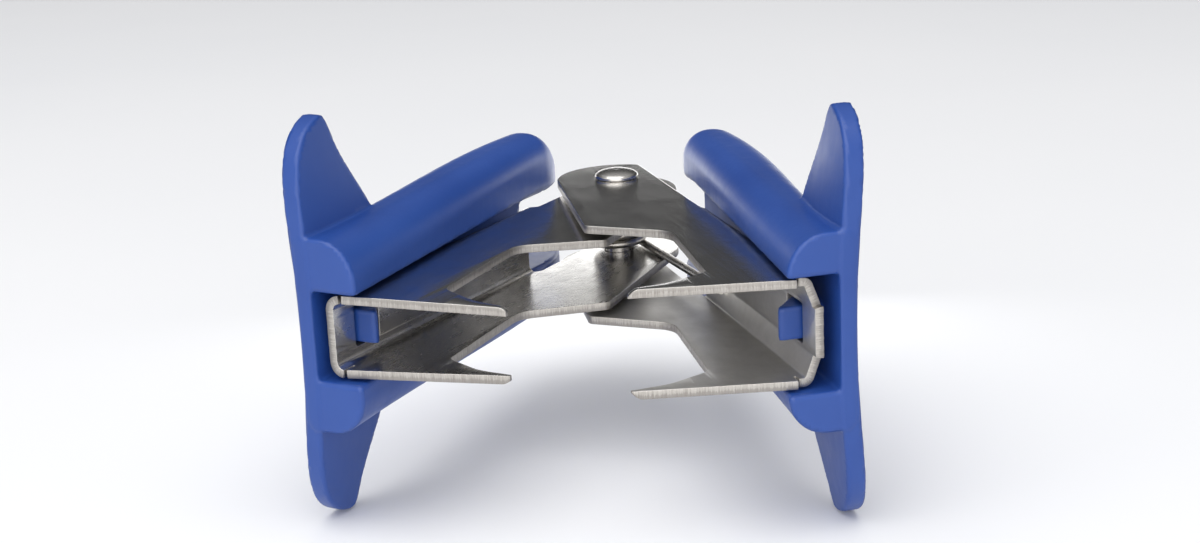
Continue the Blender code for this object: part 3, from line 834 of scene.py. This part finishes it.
def floor():
    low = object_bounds()[0]
    mesh = bpy.data.meshes.new("floor")
    corners = [(x * FLOOR_REACH, y * FLOOR_REACH, 0.0) for x, y in ((-1, -1), (1, -1), (1, 1), (-1, 1))]
    mesh.from_pydata(corners, [], [(0, 1, 2, 3)])
    made = bpy.data.objects.new("floor", mesh)
    bpy.context.scene.collection.objects.link(made)
    made.location.z = low.z - FLOOR_DROP
    nodes = Nodes("pale_floor", Roughness=0.7)
    tone = nodes.noise(object_position(nodes), 6.0)
    nodes.to("Base Color", nodes.mix(nodes.span(tone, 0.0, 1.0), (0.86, 0.865, 0.88), (0.89, 0.89, 0.90)))
    mesh.materials.append(nodes.material)
    made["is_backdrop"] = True


def area_light(name, place, aim, size, radiance):
    data = bpy.data.lights.new(name, 'AREA')
    data.shape = 'RECTANGLE'
    data.size, data.size_y = size
    data.energy = radiance * math.pi * size[0] * size[1]
    made = bpy.data.objects.new(name, data)
    bpy.context.scene.collection.objects.link(made)
    made.location = place
    made.rotation_euler = (Vector(aim) - Vector(place)).to_track_quat('-Z', 'Y').to_euler()
    return made


def grey_ramp(tree, value, stops):
    ramp = tree.nodes.new("ShaderNodeValToRGB")
    tree.links.new(value, ramp.inputs["Fac"])
    elements = ramp.color_ramp.elements
    while len(elements) < len(stops):
        elements.new(0.5)
    for element, (place, tone) in zip(elements, stops):
        element.position = place
        element.color = (*(tone * tint for tint in ROOM_TINT), 1.0)
    return ramp.outputs["Color"]


def lights():
    """Softboxes above and in front, a low card behind that shines between the cheeks, and a room
    that is bright in front and dim behind.
    """
    area_light("overhead_softbox", (-0.08, -0.25, 0.62), (0, 0, 0), (0.75, 0.75), 2.1)
    area_light("front_softbox", (0.02, -0.60, 0.16), (0, 0, 0), (0.75, 0.40), 1.4)
    rear_card = area_light("rear_card", (-0.004, 0.050, 0.001), (0, 0, -0.004), (0.070, 0.016), 1.9)
    rear_card.visible_camera = False
    world = bpy.data.worlds.new("studio")
    world.use_nodes = True
    tree = world.node_tree
    direction = tree.nodes.new("ShaderNodeTexCoord")
    apart = tree.nodes.new("ShaderNodeSeparateXYZ")
    tree.links.new(direction.outputs["Generated"], apart.inputs["Vector"])
    front = grey_ramp(tree, apart.outputs["Z"], ((0.0, 1.0), (0.3, 0.8), (1.0, 0.75)))
    behind = grey_ramp(tree, apart.outputs["Z"],
                       ((0.0, 1.0), (0.1, 0.55), (0.2, 0.06), (0.5, 0.1), (1.0, 0.75)))
    share = tree.nodes.new("ShaderNodeMapRange")
    for socket, number in (("From Min", -ROOM_TURN), ("From Max", ROOM_TURN)):
        share.inputs[socket].default_value = number
    tree.links.new(apart.outputs["Y"], share.inputs["Value"])
    blend = tree.nodes.new("ShaderNodeMix")
    blend.data_type = 'RGBA'
    tree.links.new(share.outputs["Result"], blend.inputs[0])
    tree.links.new(front, blend.inputs[6])
    tree.links.new(behind, blend.inputs[7])
    tree.links.new(blend.outputs[2], tree.nodes["Background"].inputs["Color"])
    bpy.context.scene.world = world


def camera():
    data = bpy.data.cameras.new("camera")
    data.lens = CAMERA_LENS
    data.sensor_width = CAMERA_SENSOR
    data.clip_start, data.clip_end = 0.01, 20.0
    made = bpy.data.objects.new("camera", data)
    bpy.context.scene.collection.objects.link(made)
    turn = (Matrix.Rotation(math.radians(CAMERA_AZIMUTH), 3, 'Z')
            @ Matrix.Rotation(math.radians(90.0 - CAMERA_ELEVATION), 3, 'X')
            @ Matrix.Rotation(math.radians(-CAMERA_ROLL), 3, 'Z'))
    back = turn @ Vector((0, 0, 1))
    made.matrix_world = Matrix.Translation(CAMERA_AIM + back * CAMERA_DISTANCE) @ turn.to_4x4()
    bpy.context.scene.camera = made


# ---------------------------------------------------------------- assembly

def put(piece, side, node):
    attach(piece, body_name(side))
    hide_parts(node)


def build():
    edge = sheared_edge("sheared_edge")
    outer_plate = nickel_plate("nickel_plate_outer", inside_dull=0.22)
    inner_plate = nickel_plate("nickel_plate_inner", inside_dull=0.06)
    outer = Jaw("outer_jaw_sheet", OUTER, outer_section(), back_rear=16.8, slit=3.4, tab_proud=0.6,
                tab_half=FACET_START, tip_length=1.0, tip_keep=0.25, seed=11)
    inner = Jaw("inner_jaw_sheet", INNER, inner_section(), back_rear=10.5, slit=4.4, tab_proud=0.0,
                tab_half=1.0, tip_length=0.8, tip_keep=0.6, seed=23)
    put(bent_jaw(outer, (outer_plate, edge)), OUTER, "outer_jaw")
    put(bent_jaw(inner, (inner_plate, edge)), INNER, "inner_jaw")

    plastic = blue_plastic("blue_plastic")
    outer_grip = moulded_grip("outer_grip_moulding", OUTER, OUTER_POCKET, OUTER_BACK, plastic)
    inner_grip = moulded_grip("inner_grip_moulding", INNER, INNER_POCKET, INNER_BACK, plastic)
    put(outer_grip, OUTER, "outer_grip")
    put(inner_grip, INNER, "inner_grip")

    put(rivet(rivet_steel()), OUTER, "pivot_rivet")
    wire, top = spring(spring_wire())
    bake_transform(wire)
    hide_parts("torsion_spring")


build()
floor()
lights()
camera()
bpy.context.scene.view_settings.view_transform = 'Standard'
